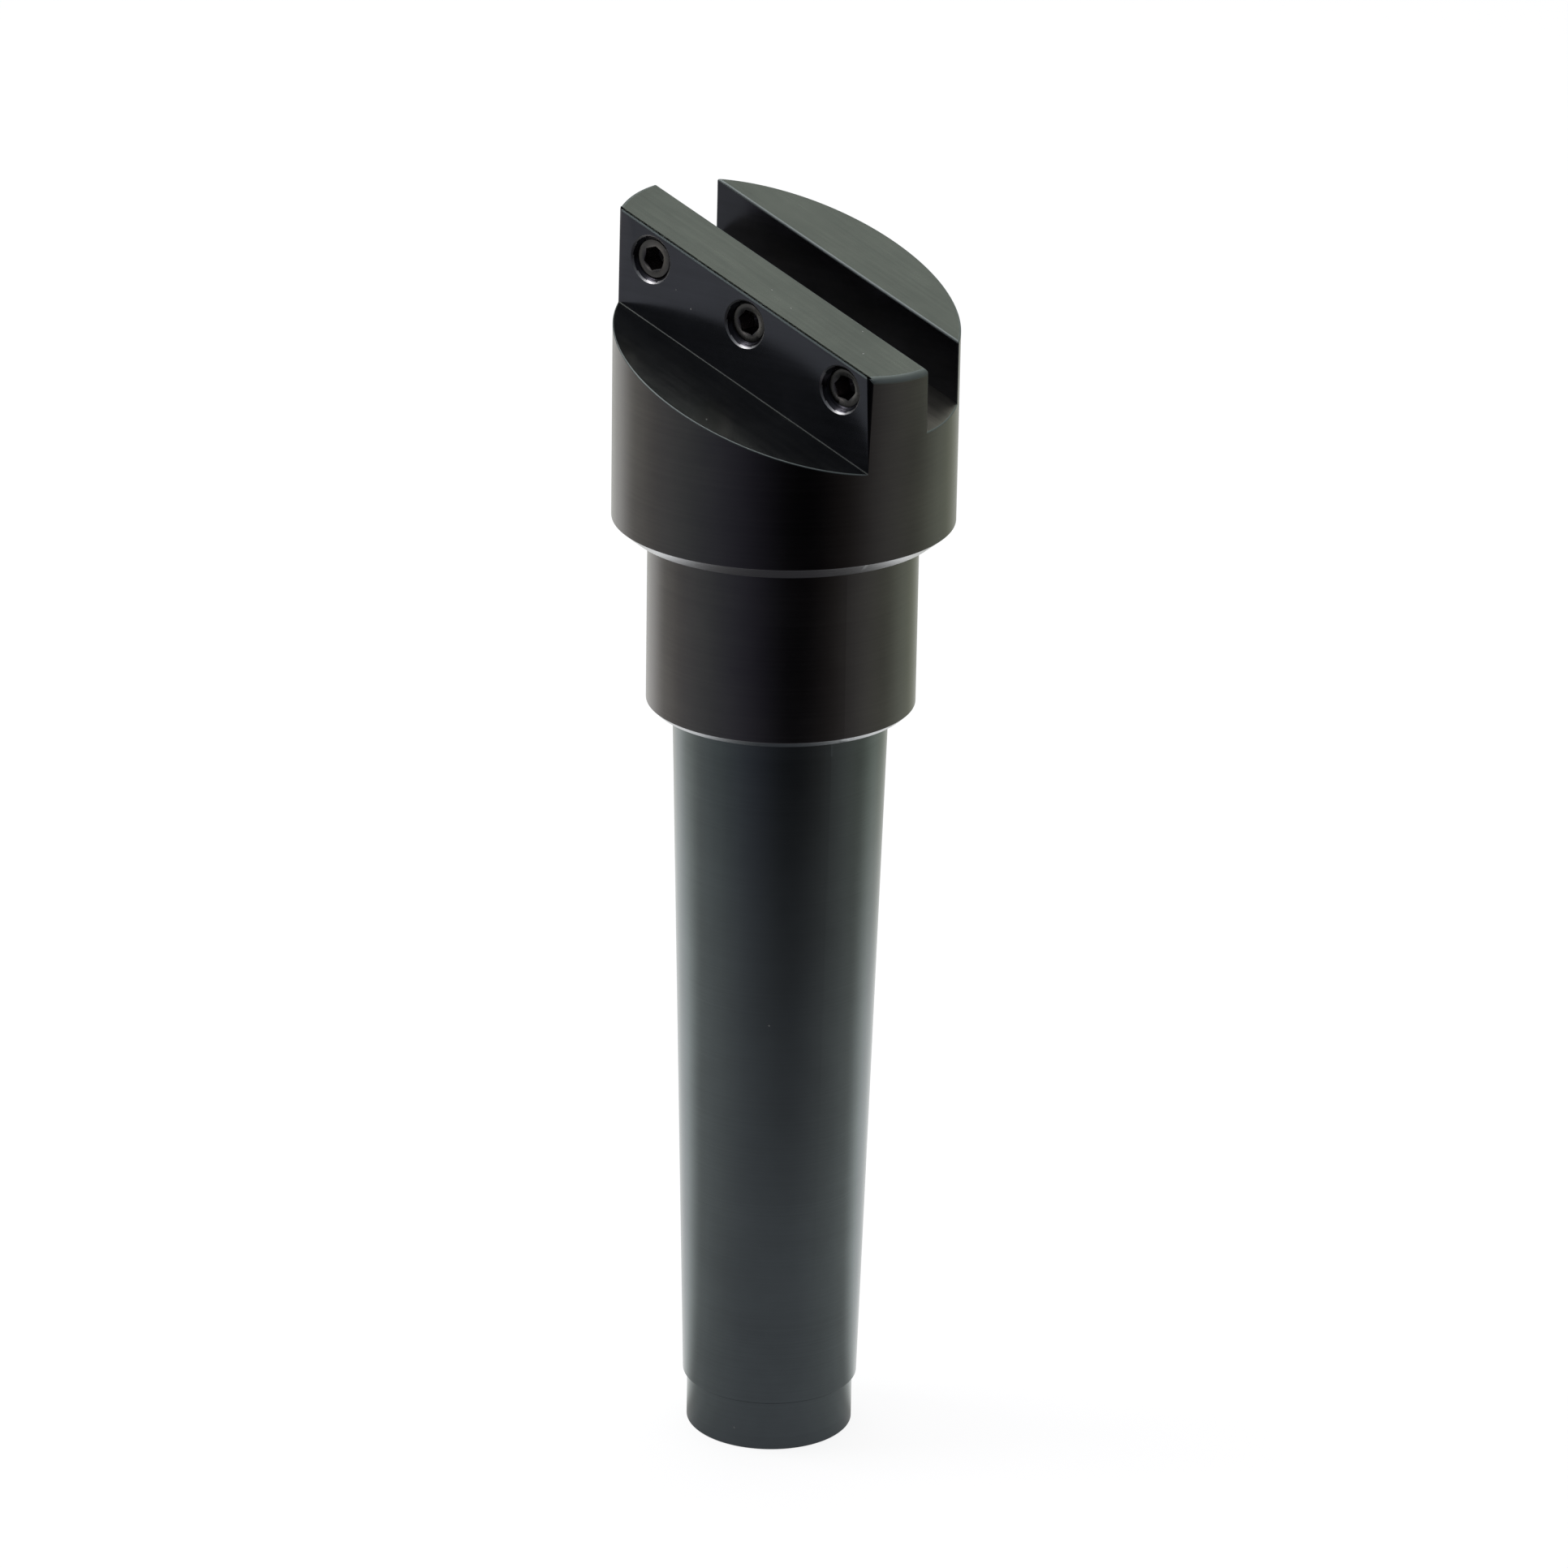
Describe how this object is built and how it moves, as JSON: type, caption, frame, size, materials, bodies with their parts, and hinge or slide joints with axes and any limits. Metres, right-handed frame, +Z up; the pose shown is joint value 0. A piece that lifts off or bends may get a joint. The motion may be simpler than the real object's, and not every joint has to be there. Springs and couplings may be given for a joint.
{
  "type": "fly cutter",
  "caption": "Fly cutter with a Morse taper shank: a steel head whose slanted slot holds a square tool bit, clamped by socket set screws.",
  "frame": {"origin": "centre of the shank's small end face", "axes": "+Z up the cutter's axis from the shank to the head, +X down the slant of the end face, -Y the outward normal of the flat with the set screws"},
  "size_m": [0.038, 0.038, 0.1436],
  "materials": {
    "blackened_steel": "black oxide over fine turning marks, satin",
    "screw_steel": "black oxide, slightly oily"
  },
  "bodies": {
    "cutter": {"cutter_body": "blackened_steel"},
    "clamp_screw_1": {"set_screw_1": "screw_steel"},
    "clamp_screw_2": {"set_screw_2": "screw_steel"},
    "clamp_screw_3": {"set_screw_3": "screw_steel"}
  },
  "joints": [
    {"name": "set_screw_1_travel", "type": "slide", "parent": "cutter", "child": "clamp_screw_1", "axis": [0, 1, 0], "range_m": [-0.004, 0.0048]},
    {"name": "set_screw_2_travel", "type": "slide", "parent": "cutter", "child": "clamp_screw_2", "axis": [0, 1, 0], "range_m": [-0.004, 0.0048]},
    {"name": "set_screw_3_travel", "type": "slide", "parent": "cutter", "child": "clamp_screw_3", "axis": [0, 1, 0], "range_m": [-0.004, 0.0048]}
  ]
}
